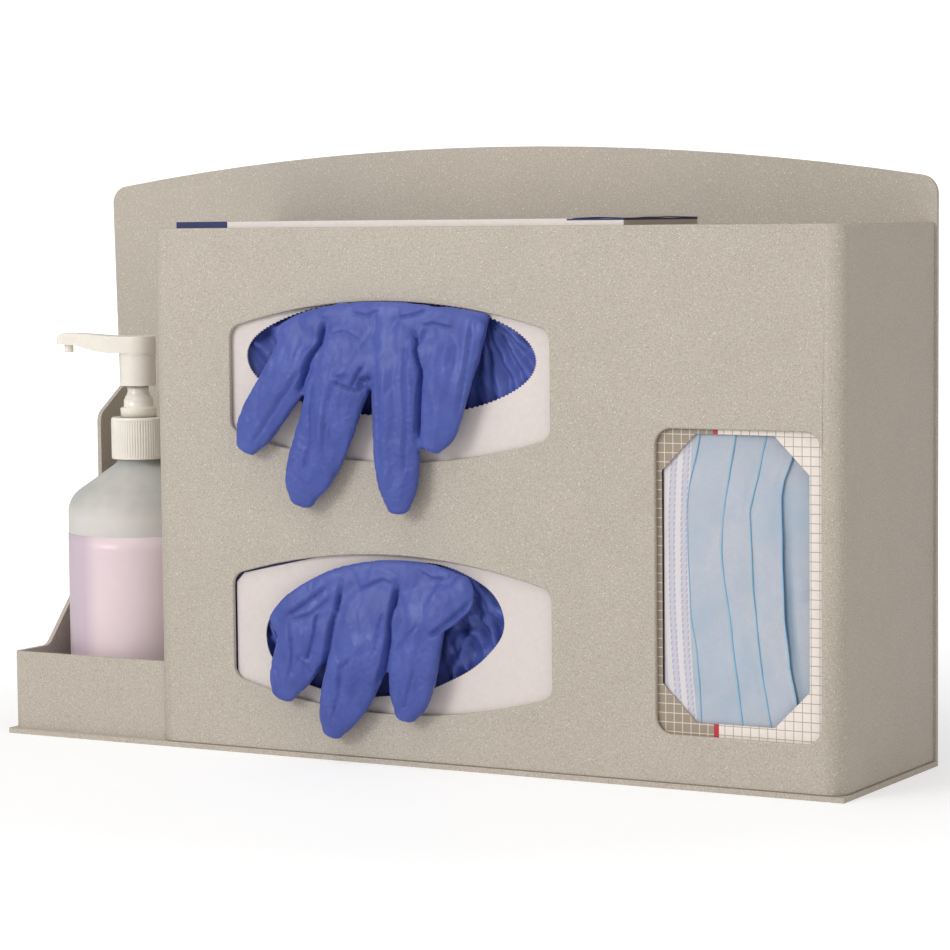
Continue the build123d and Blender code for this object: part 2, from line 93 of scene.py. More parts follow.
def studio(lighting, backdrop):
    """A world that lights softly and that the camera sees as plain white."""
    world = bpy.data.worlds.new("studio")
    bpy.context.scene.world = world
    world.use_nodes = True
    tree = world.node_tree
    soft = tree.nodes["Background"]
    soft.inputs["Color"].default_value = (1.0, 0.995, 0.985, 1)
    soft.inputs["Strength"].default_value = lighting
    seen = tree.nodes.new("ShaderNodeBackground")
    seen.inputs["Strength"].default_value = backdrop
    pick = tree.nodes.new("ShaderNodeMixShader")
    path = tree.nodes.new("ShaderNodeLightPath")
    tree.links.new(path.outputs["Is Camera Ray"], pick.inputs[0])
    tree.links.new(soft.outputs[0], pick.inputs[1])
    tree.links.new(seen.outputs[0], pick.inputs[2])
    tree.links.new(pick.outputs[0], tree.nodes["World Output"].inputs["Surface"])


camera()
lamp("key", (-0.9, -2.0, 0.95), (0.0, 0.0, 0.08), (1.0, 0.8), 19, (1.0, 0.98, 0.965))
lamp("fill", (1.9, -0.9, 0.7), (0.0, 0.0, 0.12), (1.0, 1.2), 6, (1.0, 0.91, 0.80))
lamp("top", (-0.3, -0.7, 1.9), (0.0, 0.1, 0.25), (1.4, 1.4), 9)
studio(0.46, 1.6)
bpy.context.scene.view_settings.view_transform = "Standard"


# ---- materials
def rgb(r, g, b):
    """Linear colour of an 8-bit screen colour."""
    def line(c):
        c /= 255
        return c / 12.92 if c <= 0.04045 else ((c + 0.055) / 1.055) ** 2.4
    return (line(r), line(g), line(b), 1)


class Look:
    """A node material: its tree, its shader, and short ways to add nodes."""

    def __init__(self, name, **sockets):
        self.mat = bpy.data.materials.new(name)
        self.mat.use_nodes = True
        self.tree = self.mat.node_tree
        self.shader = self.tree.nodes["Principled BSDF"]
        for key, value in sockets.items():
            self.shader.inputs[key.replace("_", " ")].default_value = value

    def node(self, kind, inputs=None, **settings):
        n = self.tree.nodes.new(kind)
        for key, value in settings.items():
            setattr(n, key, value)
        for key, value in (inputs or {}).items():
            if isinstance(value, bpy.types.NodeSocket):
                self.tree.links.new(value, n.inputs[key])
            else:
                n.inputs[key].default_value = value
        return n

    def place(self):
        return self.node("ShaderNodeTexCoord").outputs["Object"]

    def axes(self, vector=None):
        """X, Y and Z of the place, or of a vector."""
        spot = self.node("ShaderNodeSeparateXYZ", {"Vector": vector or self.place()})
        return [spot.outputs[axis] for axis in "XYZ"]

    def math(self, operation, a, b=0.0, c=0.0):
        return self.node("ShaderNodeMath", {0: a, 1: b, 2: c}, operation=operation).outputs[0]

    def noise(self, scale, detail=4, rough=0.6, warp=0.0):
        return self.node("ShaderNodeTexNoise", {
            "Vector": self.place(), "Scale": scale, "Detail": detail,
            "Roughness": rough, "Distortion": warp}).outputs["Fac"]

    def cells(self, scale, output="Distance", at=None):
        return self.node("ShaderNodeTexVoronoi",
                         {"Vector": at or self.place(), "Scale": scale}).outputs[output]

    def ramp(self, value, *stops):
        n = self.node("ShaderNodeValToRGB", {"Fac": value})
        ramp = n.color_ramp
        while len(ramp.elements) < len(stops):
            ramp.elements.new(0.5)
        for element, (at, colour) in zip(ramp.elements, stops):
            element.position = at
            element.color = colour if len(colour) == 4 else (*colour, 1)
        return n.outputs["Color"]

    def fade(self, value, start, stop, low=0.0, high=1.0):
        """From low to high while the value goes from start to stop, and level outside."""
        return self.node("ShaderNodeMapRange",
                         {0: value, 1: start, 2: stop, 3: low, 4: high}).outputs[0]

    def between(self, value, low, high):
        """From one colour to another over the middle of a noise's range."""
        return self.ramp(value, (0.3, low), (0.7, high))

    def step(self, value, start, stop, low=0.0, high=1.0):
        """Grey that goes from low to high while the value goes from start to stop."""
        return self.ramp(value, (start, grey(low)), (stop, grey(high)))

    def above(self, a, b):
        return self.math("GREATER_THAN", a, b)

    def below(self, a, b):
        return self.math("LESS_THAN", a, b)

    def mix(self, factor, a, b, mode="MIX"):
        n = self.node("ShaderNodeMix", data_type="RGBA", blend_type=mode)
        for key, value in ((0, factor), (6, a), (7, b)):
            if isinstance(value, bpy.types.NodeSocket):
                self.tree.links.new(value, n.inputs[key])
            else:
                n.inputs[key].default_value = value
        return n.outputs[2]

    def colour(self, value):
        self.tree.links.new(value, self.shader.inputs["Base Color"])

    def rough(self, value, low, high):
        self.tree.links.new(self.between(value, grey(low), grey(high)),
                            self.shader.inputs["Roughness"])

    def bump(self, *layers):
        """Bump from (height, strength, distance) layers, one over the other."""
        last = None
        for height, strength, distance in layers:
            n = self.node("ShaderNodeBump", {"Height": height, "Strength": strength,
                                             "Distance": distance})
            if last:
                self.tree.links.new(last, n.inputs["Normal"])
            last = n.outputs["Normal"]
        self.tree.links.new(last, self.shader.inputs["Normal"])


def grey(v):
    return (v, v, v, 1)


def quartz():
    """Speckled sheet plastic: fine light and dark grains under a satin skin, and near-white chips
    that are partly pale grain and partly painted glint.
    """
    chips = 1150                        # cells of the near-white chips, a metre; their colour is partly painted glint
    look = Look("quartz_sheet", Specular_IOR_Level=0.4)
    mottle = look.noise(45, 3, 0.6)
    grain = look.noise(2600, 2, 0.7)
    base = look.between(mottle, rgb(178, 169, 157), rgb(186, 177, 165))
    base = look.mix(look.step(grain, 0.40, 0.62), base, rgb(199, 191, 180))
    dark = look.step(look.noise(2300, 1, 0.5), 0.36, 0.46, 1.0, 0.0)
    base = look.mix(dark, base, rgb(166, 156, 144))
    pale = look.step(look.noise(1500, 2, 0.55), 0.58, 0.68, high=0.75)
    base = look.mix(pale, base, rgb(211, 204, 195))
    chance = look.node("ShaderNodeSeparateColor", {"Color": look.cells(chips, "Color")})
    # painted highlight, partly: the near-white chips stand for pale grains and for glints of light
    chip_and_painted_glint = look.step(chance.outputs[0], 0.88, 0.98, high=0.8)
    core = look.step(look.cells(chips), 0.16, 0.42, 1.0, 0.0)
    look.colour(look.mix(look.mix(1.0, chip_and_painted_glint, core, "MULTIPLY"), base, rgb(240, 235, 228)))
    look.rough(grain, 0.55, 0.40)
    look.bump((grain, 0.28, 0.00016), (mottle, 0.05, 0.001))
    return look.mat


def coated_board(name, print_on):
    """Thin coated board: fine fibre under a weak sheen; print_on lays the inks over it."""
    look = Look(name, Specular_IOR_Level=0.45, Coat_Weight=0.1, Coat_Roughness=0.3)
    fibre = look.noise(420, 5, 0.65)
    base = look.between(fibre, rgb(220, 210, 206), rgb(226, 217, 213))
    look.colour(print_on(look, base))
    look.rough(fibre, 0.5, 0.42)
    look.bump((fibre, 0.06, 0.0002), (look.noise(14, 2, 0.5), 0.05, 0.002))
    return look.mat


INK = rgb(20, 34, 92)
# tan, partly bare board and partly painted shade, for the carton's end and the top of its flap
BARE_BOARD_AND_SHADE = rgb(172, 160, 145)


def upper_print(look, base):
    """Dark blue print on the left of the carton; dark blue beside its end flap, partly print and
    partly painted shade under the flap's edge; on its end, tan that is partly bare board and partly
    painted shade.
    """
    left, flap_side, end, flap_fold = -0.093, 0.0915, 0.1203, 0.2556
    x, _, z = look.axes()
    base = look.mix(look.below(x, left), base, INK)
    # partly painted shade: the dark blue beside the end flap stands partly for print and partly for
    # the shadow under the flap's front edge
    beside = look.math("MULTIPLY", look.above(x, flap_side), look.above(z, flap_fold))
    base = look.mix(beside, base, INK)
    # partly painted shade: the end, turned from the lamps, is coloured tan
    bare = look.math("MULTIPLY", look.above(x, end), look.below(z, flap_fold))
    return look.mix(bare, base, BARE_BOARD_AND_SHADE)


def lower_print(look, base):
    """Dark blue outside a light panel: past its left side, its corner and its slanting top."""
    slant, top_line, corner_line, side_line = 0.222, 0.10647, 0.1735, -0.0907
    x, _, z = look.axes()
    top = look.above(look.math("MULTIPLY_ADD", x, -slant, z), top_line)
    corner = look.above(look.math("SUBTRACT", z, x), corner_line)
    side = look.below(x, side_line)
    return look.mix(look.math("MAXIMUM", look.math("MAXIMUM", top, corner), side), base, INK)


def flap_print(look, base):
    """Printed underside; on top, tan that is partly bare board and partly painted shade."""
    _, _, up = look.axes(look.node("ShaderNodeTexCoord").outputs["Normal"])
    return look.mix(look.above(up, 0.3), look.mix(1.0, base, INK), BARE_BOARD_AND_SHADE)


def ruled_board():
    """Mask carton's face: a ruled grid on two grounds either side of a red bar."""
    pitch, half_line = 0.0042, 0.042    # the grid's pitch, and half a line's share of it
    face, change, bar_left, bar_right = -0.0511, 0.1655, 0.1642, 0.1667
    look = Look("mask_board", Specular_IOR_Level=0.5, Coat_Weight=0.12, Coat_Roughness=0.25)
    x, y, z = look.axes()

    def rule(value, shift):
        share = look.math("FRACT", look.math("MULTIPLY_ADD", value, 1 / pitch, shift))
        return look.below(look.math("ABSOLUTE", look.math("SUBTRACT", share, 0.5)), half_line)
    front = look.below(y, face)
    lines = look.math("MULTIPLY", look.math("MAXIMUM", rule(x, 0.12), rule(z, 0.4)), front)
    left = look.mix(lines, rgb(158, 144, 128), rgb(226, 216, 203))
    right = look.mix(lines, rgb(242, 232, 224), rgb(172, 162, 154))
    base = look.mix(look.above(x, change), left, right)
    bar = look.math("MULTIPLY", look.above(x, bar_left), look.below(x, bar_right))
    base = look.mix(look.math("MULTIPLY", bar, front), base, rgb(190, 40, 48))
    fibre = look.noise(260, 5, 0.65)
    look.colour(look.mix(look.step(fibre, 0.4, 0.8, high=0.12), base, rgb(150, 140, 130)))
    look.rough(fibre, 0.48, 0.38)
    look.bump((fibre, 0.08, 0.0002))
    return look.mat


def nitrile():
    """Thin rubber film: satin, with fine wrinkles down the glove."""
    look = Look("nitrile", Specular_IOR_Level=0.48, Sheen_Weight=0.12, Sheen_Roughness=0.4,
                Sheen_Tint=(0.55, 0.62, 1.0, 1), Subsurface_Weight=0.04,
                Subsurface_Radius=(0.001, 0.0012, 0.003), Subsurface_Scale=0.5)
    tone = look.noise(60, 4, 0.6, 0.4)
    pore = look.noise(2600, 2, 0.6)
    base = look.between(tone, rgb(58, 74, 154), rgb(72, 90, 170))
    look.colour(look.mix(look.step(pore, 0.4, 0.75, high=0.2), base, rgb(96, 114, 188)))
    look.rough(tone, 0.54, 0.42)
    long = look.node("ShaderNodeMapping", {"Vector": look.place(), "Scale": (1, 1, 0.5),
                                           "Rotation": (0, 0.35, 0)}).outputs[0]
    wrinkle = look.node("ShaderNodeTexNoise", {
        "Vector": long, "Scale": 150, "Detail": 5, "Roughness": 0.55, "Distortion": 0.7},
        noise_type="RIDGED_MULTIFRACTAL").outputs["Fac"]
    facet = look.cells(190, at=long)
    look.bump((pore, 0.1, 0.0001), (wrinkle, 0.3, 0.0004), (facet, 0.35, 0.0012))
    return look.mat


def fabric():
    """Spunbond: fine random fibres pressed together in a lattice of small dots."""
    look = Look("mask_fabric", Specular_IOR_Level=0.2, Sheen_Weight=0.3, Sheen_Roughness=0.6)
    base, bumps = spunbond(look)
    look.colour(base)
    look.bump(*bumps)
    return look.mat


def spunbond(look):
    """Colour and bump layers of the mask's cloth; its roughness is set."""
    at = look.place()
    fibre = look.noise(1100, 5, 0.75, 0.6)
    cloud = look.noise(70, 3, 0.6)
    drift = look.noise(26, 4, 0.65, 0.5)
    turned = look.node("ShaderNodeMapping", {"Vector": at, "Rotation": (0, math.radians(45), 0)})
    dots = look.cells(1100, at=turned.outputs[0])
    base = look.between(fibre, rgb(181, 188, 200), rgb(195, 201, 212))
    base = look.mix(look.step(cloud, 0.35, 0.75, high=0.4), base, rgb(201, 208, 221))
    base = look.mix(look.step(drift, 0.42, 0.62, high=0.65), base, rgb(170, 188, 207))
    look.rough(fibre, 0.85, 0.7)
    return base, [(fibre, 0.3, 0.0002), (dots, 0.2, 0.00012), (drift, 0.3, 0.002)]


def welded_fabric(rows, pitch, hem):
    """The mask's cloth laid flat, in mm: white hem up to its edge, with dashed weld rows."""
    look = Look("mask_hem", Specular_IOR_Level=0.2, Sheen_Weight=0.2, Sheen_Roughness=0.6,
                Subsurface_Weight=0.25, Subsurface_Radius=(0.0008, 0.0014, 0.0022),
                Subsurface_Scale=0.6)
    base, bumps = spunbond(look)
    across, up, _ = look.axes(look.node("ShaderNodeUVMap", uv_map="flat").outputs[0])
    turn = look.math("FRACT", look.math("DIVIDE", up, pitch))
    dash = look.below(turn, 0.62)
    weld = 0.0
    for row in rows:
        slant = look.math("MULTIPLY_ADD", turn, 0.7, row - 0.35)
        near = look.below(look.math("ABSOLUTE", look.math("SUBTRACT", across, slant)), 0.3)
        weld = look.math("MAXIMUM", look.math("MULTIPLY", near, dash), weld)
    under = look.node("ShaderNodeAttribute", attribute_name="under").outputs["Fac"]
    in_hem = look.fade(across, hem, hem - 0.8)
    band = look.ramp(look.math("FRACT", look.math("DIVIDE", across, rows[2] - rows[0])),
                     (0.35, grey(0.0)), (0.5, grey(1.0)), (0.85, grey(1.0)), (1.0, grey(0.0)))
    cloth = look.mix(band, rgb(226, 221, 225), rgb(208, 205, 217))
    base = look.mix(in_hem, base, cloth)
    base = look.mix(weld, base, rgb(176, 184, 210))
    # painted shadow: grey-blue on the cloth beside the last fold, where the deep attribute is high
    deep = look.node("ShaderNodeAttribute", attribute_name="deep").outputs["Fac"]
    base = look.mix(deep, base, rgb(118, 146, 170))
    look.colour(look.mix(under, base, rgb(104, 176, 222)))
    look.bump(*bumps, (look.math("SUBTRACT", 1.0, weld), 0.6, 0.00035))
    return look.mat


def moulded(name, light, dark, roughness, coat=0.0, through=0.06):
    look = Look(name, Specular_IOR_Level=0.5, Coat_Weight=coat, Coat_Roughness=0.12,
                Subsurface_Weight=through, Subsurface_Radius=(0.004, 0.0035, 0.003),
                Subsurface_Scale=0.5)
    flow = look.noise(55, 3, 0.55, 0.3)
    fine = look.noise(1400, 2, 0.6)
    look.colour(look.between(flow, dark, light))
    look.rough(fine, roughness + 0.06, roughness - 0.04)
    look.bump((fine, 0.06, 0.0001))
    return look.mat


def frosted(line):
    """Frosted bottle: milky up to the liquid's line, greyer above it."""
    look = Look("frosted_bottle", Specular_IOR_Level=0.5, Transmission_Weight=0.22, IOR=1.3,
                Subsurface_Weight=0.25, Subsurface_Radius=(0.01, 0.009, 0.008),
                Subsurface_Scale=0.5)
    cloud = look.noise(32, 3, 0.6)
    fine = look.noise(1300, 3, 0.6)
    above = look.fade(look.axes()[2], line - 0.002, line + 0.005)
    full = look.between(cloud, rgb(240, 235, 228), rgb(247, 242, 235))
    clear = look.ramp(cloud, (0.35, rgb(200, 203, 200)), (0.7, rgb(232, 226, 216)))
    look.colour(look.mix(above, full, clear))
    look.rough(fine, 0.42, 0.32)
    look.bump((fine, 0.08, 0.0002), (cloud, 0.06, 0.002))
    return look.mat


def gel():
    look = Look("liquid", Transmission_Weight=0.35, IOR=1.33, Specular_IOR_Level=0.5)
    cloud = look.noise(90, 3, 0.6)
    look.colour(look.between(cloud, rgb(214, 214, 216), rgb(226, 225, 226)))
    look.rough(cloud, 0.35, 0.25)
    return look.mat


def film(centre, panel):
    """Label film with painted light and shade: paler across the middle that faces the lamps, darker
    lavender towards its sides; panel gives that middle and its half width in radians.
    """
    look = Look("label_film", Specular_IOR_Level=0.5, Coat_Weight=0.2, Coat_Roughness=0.2)
    cloud = look.noise(30, 3, 0.6)
    fine = look.noise(900, 2, 0.6)
    x, y, _ = look.axes()
    turn = look.math("ARCTAN2", look.math("SUBTRACT", y, centre[1] * MM),
                     look.math("SUBTRACT", x, centre[0] * MM))
    off = look.math("ABSOLUTE", look.math("SUBTRACT", turn, panel[0]))
    # painted shade: the label darkens to lavender towards the sides, where the bottle turns from the
    # lamps
    edge = look.fade(off, panel[1], panel[1] + 0.25)
    base = look.between(cloud, rgb(229, 210, 216), rgb(236, 217, 222))
    look.colour(look.mix(edge, base, rgb(209, 190, 203)))
    look.rough(fine, 0.42, 0.34)
    look.bump((fine, 0.05, 0.0001))
    return look.mat


FILL_LINE = 0.1105                      # height of the liquid's surface in the bottle
looks = {
    "quartz_sheet": quartz(),
    "carton_board": coated_board("carton_board", upper_print),
    "mask_board": ruled_board(),
    "nitrile": nitrile(),
    "mask_fabric": fabric(),
    "frosted_bottle": frosted(FILL_LINE),
    "liquid": gel(),
    "pump_plastic": moulded("pump_plastic", rgb(250, 244, 234), rgb(243, 236, 225), 0.24, 0.3),
    "tube_plastic": moulded("tube_plastic", rgb(226, 226, 222), rgb(214, 214, 209), 0.45),
}
for part in frame["record"]["subparts"]:
    mesh = nodes[part["node"]].data
    mesh.materials.clear()
    mesh.materials.append(looks[part["material_slot"]])


EASED = ("base_plate", "bottle_tray", "back_panel", "front_shell", "divider_panel")
for name in EASED:                      # flame-polished edges of the sheet
    weld = nodes[name].modifiers.new("weld", "WELD")
    weld.merge_threshold = 0.01 * MM
    edge = nodes[name].modifiers.new("edge", "BEVEL")
    edge.width = 0.7 * MM
    edge.segments = 2
    edge.limit_method = "ANGLE"
    edge.angle_limit = math.radians(50)
    edge.harden_normals = True


# ---- mesh helpers
def piece(name, verts, faces, *mats):
    mesh = bpy.data.meshes.new(name)
    mesh.from_pydata([tuple(v) for v in verts], [], [tuple(f) for f in faces])
    for mat in mats:
        mesh.materials.append(mat)
    mesh.validate()
    mesh.shade_smooth()
    obj = bpy.data.objects.new(name, mesh)
    bpy.context.scene.collection.objects.link(obj)
    return obj


def modify(obj, kind, **settings):
    """Runs one modifier and keeps its result in the mesh."""
    modifier = obj.modifiers.new(kind.lower(), kind)
    for key, value in settings.items():
        setattr(modifier, key, value)
    keep(obj)


def keep(obj):
    """Keeps what the modifiers make of the mesh, and clears them."""
    graph = bpy.context.evaluated_depsgraph_get()
    mesh = bpy.data.meshes.new_from_object(obj.evaluated_get(graph))
    obj.modifiers.clear()
    old, obj.data = obj.data, mesh
    bpy.data.meshes.remove(old)
    mesh.name = obj.name


def joined(name, objs):
    """One object from several."""
    verts, faces = [], []
    for o in objs:
        base = len(verts)
        verts += [v.co[:] for v in o.data.vertices]
        faces += [[base + i for i in p.vertices] for p in o.data.polygons]
        bpy.data.objects.remove(o)
    return piece(name, verts, faces)


def through(rows, steps):
    """A smooth curve through rows of numbers."""
    rows = np.array(rows, float)
    padded = np.vstack([2 * rows[0] - rows[1], rows, 2 * rows[-1] - rows[-2]])
    out = []
    for a, b, c, d in zip(padded, padded[1:], padded[2:], padded[3:]):
        for t in np.linspace(0, 1, steps, endpoint=False):
            out.append(0.5 * (2 * b + (c - a) * t + (2 * a - 5 * b + 4 * c - d) * t * t
                              + (3 * b - a - 3 * c + d) * t ** 3))
    return np.array(out + [rows[-1]])


def coords(obj):
    co = np.empty(len(obj.data.vertices) * 3)
    obj.data.vertices.foreach_get("co", co)
    return co.reshape(-1, 3)


def set_coords(obj, co):
    obj.data.vertices.foreach_set("co", np.asarray(co, np.float32).ravel())
    obj.data.update()


def normals(obj):
    n = np.empty(len(obj.data.vertices) * 3)
    obj.data.vertices.foreach_get("normal", n)
    return n.reshape(-1, 3)


def quads(count, width, closed=False, ring=False):
    """Faces of count rows of points.

    Closed joins the ends of each row, and ring joins the last row to the first."""
    faces = []
    for r in range(count if ring else count - 1):
        for k in range(width if closed else width - 1):
            n, s = (k + 1) % width, (r + 1) % count
            faces.append((r * width + k, r * width + n, s * width + n, s * width + k))
    return faces


def sheet_of(name, rows, mat, closed=False, ring=False):
    """A surface through equal rows of points in mm, joined as in quads."""
    rows = np.asarray(rows, float)
    count, width = rows.shape[:2]
    faces = quads(count, width, closed, ring)
    if closed and not ring:
        faces.append(tuple(range(width))[::-1])
        faces.append(tuple(range((count - 1) * width, count * width)))
    return piece(name, rows.reshape(-1, 3) * MM, faces, mat)


def lathe(name, profile, centre, mat, around=120, grooves=None, ring=False):
    """A solid turned from (radius, z) points; grooves(angle, radius, z) is cut off the radius."""
    rows = []
    for radius, z in profile:
        row = []
        for k in range(around):
            a = 2 * math.pi * k / around
            r = radius - (grooves(a, radius, z) if grooves else 0)
            row.append((centre[0] + r * math.cos(a), centre[1] + r * math.sin(a), z))
        rows.append(row)
    return sheet_of(name, rows, mat, closed=True, ring=ring)


def dress(obj, body, node):
    """Makes obj stand for a CAD node on its body."""
    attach(obj, body)
    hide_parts(node)


def box_mm(node):
    return [[c / MM for c in corner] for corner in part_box(node)]


# ---- cartons
def torn_mouth(centre, half, tilt, teeth, depth, warp):
    """Mouth of a carton, torn along its perforation: an oval of small teeth, in mm."""
    points = []
    for k in range(teeth * 4):
        a = 2 * math.pi * k / (teeth * 4)
        bite = depth * (abs((k % 4) - 2) - 1)
        bite += warp * noise.noise(Vector((math.cos(a) * 2.2, math.sin(a) * 2.2, teeth)))
        x, z = (half[0] + bite) * math.cos(a), (half[1] + bite) * math.sin(a)
        c, s = math.cos(tilt), math.sin(tilt)
        points.append((centre[0] + x * c - z * s, centre[1] + x * s + z * c))
    return points


def spread(mouth, x0, x1, z0, z1):
    """The mouth's points moved out to the edges of the carton's face, and the face's corners."""
    middle = ((x0 + x1) / 2, (z0 + z1) / 2)
    rim = []
    for x, z in mouth:
        dx, dz = x - middle[0], z - middle[1]
        reach = min((x1 - middle[0]) / max(abs(dx), 1e-6), (z1 - middle[1]) / max(abs(dz), 1e-6))
        rim.append((middle[0] + dx * reach, middle[1] + dz * reach))
    corners = [(x1, z1), (x0, z1), (x0, z0), (x1, z0)]
    for corner in corners:
        nearest = min(range(len(rim)), key=lambda k: math.dist(rim[k], corner))
        rim[nearest] = corner
    return rim, corners


def carton_front(mouth, rim, y, rings):
    """Rings of points from the mouth, where the torn board curls in, out to the rim."""
    verts = []
    for step in range(rings):
        t = (step / (rings - 1)) ** 1.6
        curl = 0.35 * (1 - t) ** 6
        for inner, outer in zip(mouth, rim):
            sway = 0.12 * noise.noise(Vector((inner[0] / 30, inner[1] / 30, t * 2))) * (1 - t)
            verts.append((inner[0] + (outer[0] - inner[0]) * t, y + curl + abs(sway),
                          inner[1] + (outer[1] - inner[1]) * t))
    return verts


def opened_carton(name, node, mouth, mat, thickness):
    """A folded carton, its front a ring of board from the mouth out to the edges."""
    (x0, y0, z0), (x1, y1, z1) = box_mm(node)
    rings, count = 7, len(mouth)
    rim, corners = spread(mouth, x0, x1, z0, z1)
    verts = carton_front(mouth, rim, y0, rings)
    faces = quads(rings, count, closed=True)
    edge, base = (rings - 1) * count, len(verts)
    places = [rim.index(corner) for corner in corners]
    verts += [(x, y1, z) for x, z in corners]
    for side in range(4):
        start, stop = places[side], places[(side + 1) % 4]
        run = [start]
        while run[-1] != stop:
            run.append((run[-1] + 1) % count)
        faces.append([edge + k for k in run] + [base + (side + 1) % 4, base + side])
    faces.append([base + 3, base + 2, base + 1, base])
    obj = piece(name, np.array(verts) * MM, faces, mat)
    bm = bmesh.new()
    bm.from_mesh(obj.data)
    bmesh.ops.recalc_face_normals(bm, faces=bm.faces)
    bm.to_mesh(obj.data)
    bm.free()
    obj.data.shade_flat()
    modify(obj, "SOLIDIFY", thickness=thickness * MM, offset=-1)
    dress(obj, "dispenser", node)


BOARD = 0.6
opened_carton("carton_upper", "glove_carton_upper",
              torn_mouth((-4.0, 191.9), (79, 27), 0, 150, 0.36, 0.5), looks["carton_board"], BOARD)
opened_carton("carton_lower", "glove_carton_lower",
              torn_mouth((-9.0, 64.0), (66, 32), math.radians(8), 190, 0.14, 1.2),
              coated_board("carton_board_lower", lower_print), BOARD)


def end_flap(node, bow):
    """The carton's end flap, folded back over its top and bowed upwards."""
    (x0, y0, z0), (x1, y1, z1) = box_mm(node)
    rows = []
    for i in range(25):
        t = i / 24
        row = []
        for j in range(41):
            v = 2 * j / 40 - 1
            lift = bow * math.sin(math.pi * min(1, 0.12 + 0.8 * t)) * (1 - 0.55 * v * v)
            lift += 0.25 * noise.noise(Vector((t * 1.7, v * 1.9, 4)))
            half = (y1 - y0) / 2 - 3.0 * t
            row.append((x1 - (x1 - x0) * t, (y0 + y1) / 2 + half * v, z0 + 0.1 + max(0, lift)))
        rows.append(row)
    obj = sheet_of("end_flap_board", rows, coated_board("flap_board", flap_print))
    modify(obj, "SOLIDIFY", thickness=BOARD * MM, offset=-1)
    dress(obj, "end_flap", node)


end_flap("carton_end_flap", 1.5)


# ---- masks
MASK_X = (139.1, 218.2)
MASK_FOLDS = (    # free edges of the folded layers, as (z, x) points up the mask
    ((3, 158.2), (34, 157.1), (50, 156.2), (64, 155.0), (77, 152.5), (92, 151.5), (109, 150.9),
     (129, 150.7), (138, 151.8), (154, 156.0), (175, 160.5)),
    ((3, 180.6), (30, 177.4), (44, 175.6), (60, 173.4), (79, 171.0), (93, 169.0), (104, 167.3),
     (111, 167.0), (126, 168.6), (144, 171.2), (161, 174.8), (175, 177.2)),
    ((3, 194.5), (32, 190.6), (53, 186.6), (72, 184.1), (89, 182.5), (112, 181.2), (126, 180.8),
     (145, 185.3), (161, 189.4), (175, 192.4)),
    ((3, 209.0), (43, 202.6), (57, 199.7), (79, 197.2), (94, 196.2), (116, 196.0), (133, 195.6),
     (140, 196.9), (150, 200.9), (175, 205.0)),
)
MASK_TUCKS = (9.0, 7.0, 7.0, 6.0)       # how far each layer doubles back under itself
MASK_TURN = 0.17                        # radius of a fold
MASK_DROPS = (0.1, 0.15, 0.15, 1.25)    # free height under each edge

PANEL, TURNED = 20, 14                  # points on a layer's face, and folded back under it


def mask_row(z, y):
    """Cross-section of the folded mask at height z: its (x, y) path from left to right."""
    path, start = [], MASK_X[0]
    for fold, tuck, drop in zip(MASK_FOLDS, MASK_TUCKS, MASK_DROPS):
        edge = float(np.interp(z, *zip(*fold)))
        edge += 0.35 * noise.noise(Vector((z / 17, tuck, 0)))
        width = edge - start
        for k in range(PANEL):
            t = k / (PANEL - 1)
            puff = 0.45 * math.sin(math.pi * t) + 0.35 * noise.noise(Vector((t * 1.9, z / 24, drop)))
            puff += 0.3 * noise.noise(Vector((t * 6, z / 9, 3 + drop)))
            puff -= 0.25 * t ** 6
            path.append((start + width * t, y - puff * min(1, 6 * (1 - t), 6 * t)))
        for angle in (-60, -30, 0, 30, 60):
            a = math.radians(angle)
            path.append((edge + MASK_TURN * math.cos(a), y + MASK_TURN * (1 + math.sin(a))))
        y += 2 * MASK_TURN
        free = drop * (0.6 + 0.4 * math.exp(-((z - 85) / 40) ** 2))
        for k in range(6):
            path.append((edge - tuck * k / 5, y + free * k / 5))
        y += free
        for angle in (-60, 0, 60):
            a = math.radians(angle)
            path.append((edge - tuck - MASK_TURN * math.cos(a), y + MASK_TURN * (1 + math.sin(a))))
        y += 2 * MASK_TURN
        start = edge - tuck
    for k in range(PANEL):
        t = k / (PANEL - 1)
        puff = 0.3 * math.sin(math.pi * t) + 0.3 * noise.noise(Vector((t * 3, z / 22, 9)))
        free = min(1, max(0, 5 * (t - 0.3)))
        puff += 0.8 * free * math.exp(-((z - 84) / 18) ** 2) * noise.noise(Vector((t * 5, z / 6, 2)))
        path.append((start + (MASK_X[1] - start) * t, y - puff * min(1, 6 * t)))
    return path


def mark_mask(mesh, rows, flats):
    """Gives the mask's points their place on the flat cloth, what lies under a fold, and a painted
    shadow beside the last fold.
    """
    width = len(rows[0])
    uv = mesh.uv_layers.new(name="flat")
    for loop in mesh.loops:
        r, k = divmod(loop.vertex_index, width)
        z = rows[r][k][2]
        uv.data[loop.index].uv = (flats[r][k] - 0.0007 * (z - 105) ** 2, z)
    under = mesh.attributes.new("under", "FLOAT", "POINT")
    for index in range(len(mesh.vertices)):
        place = index % width % (PANEL + TURNED)
        under.data[index].value = 1.0 if place >= PANEL else 0.45 if place == PANEL - 1 else 0.0
    # deep holds painted shadow: a darker band on the cloth just right of the last fold, strongest at
    # mid height
    deep = mesh.attributes.new("deep", "FLOAT", "POINT")
    last = len(MASK_FOLDS) * (PANEL + TURNED)
    for r, row in enumerate(rows):
        edge, z = row[last - TURNED - 1][0], row[0][2]
        hollow = 0.85 * math.exp(-((z - 82) / 40) ** 2)
        for k in range(last, width):
            near = 1.7 * (1 - (row[k][0] - edge) / 5.0)
            deep.data[r * width + k].value = hollow * min(1.0, max(0.0, near))


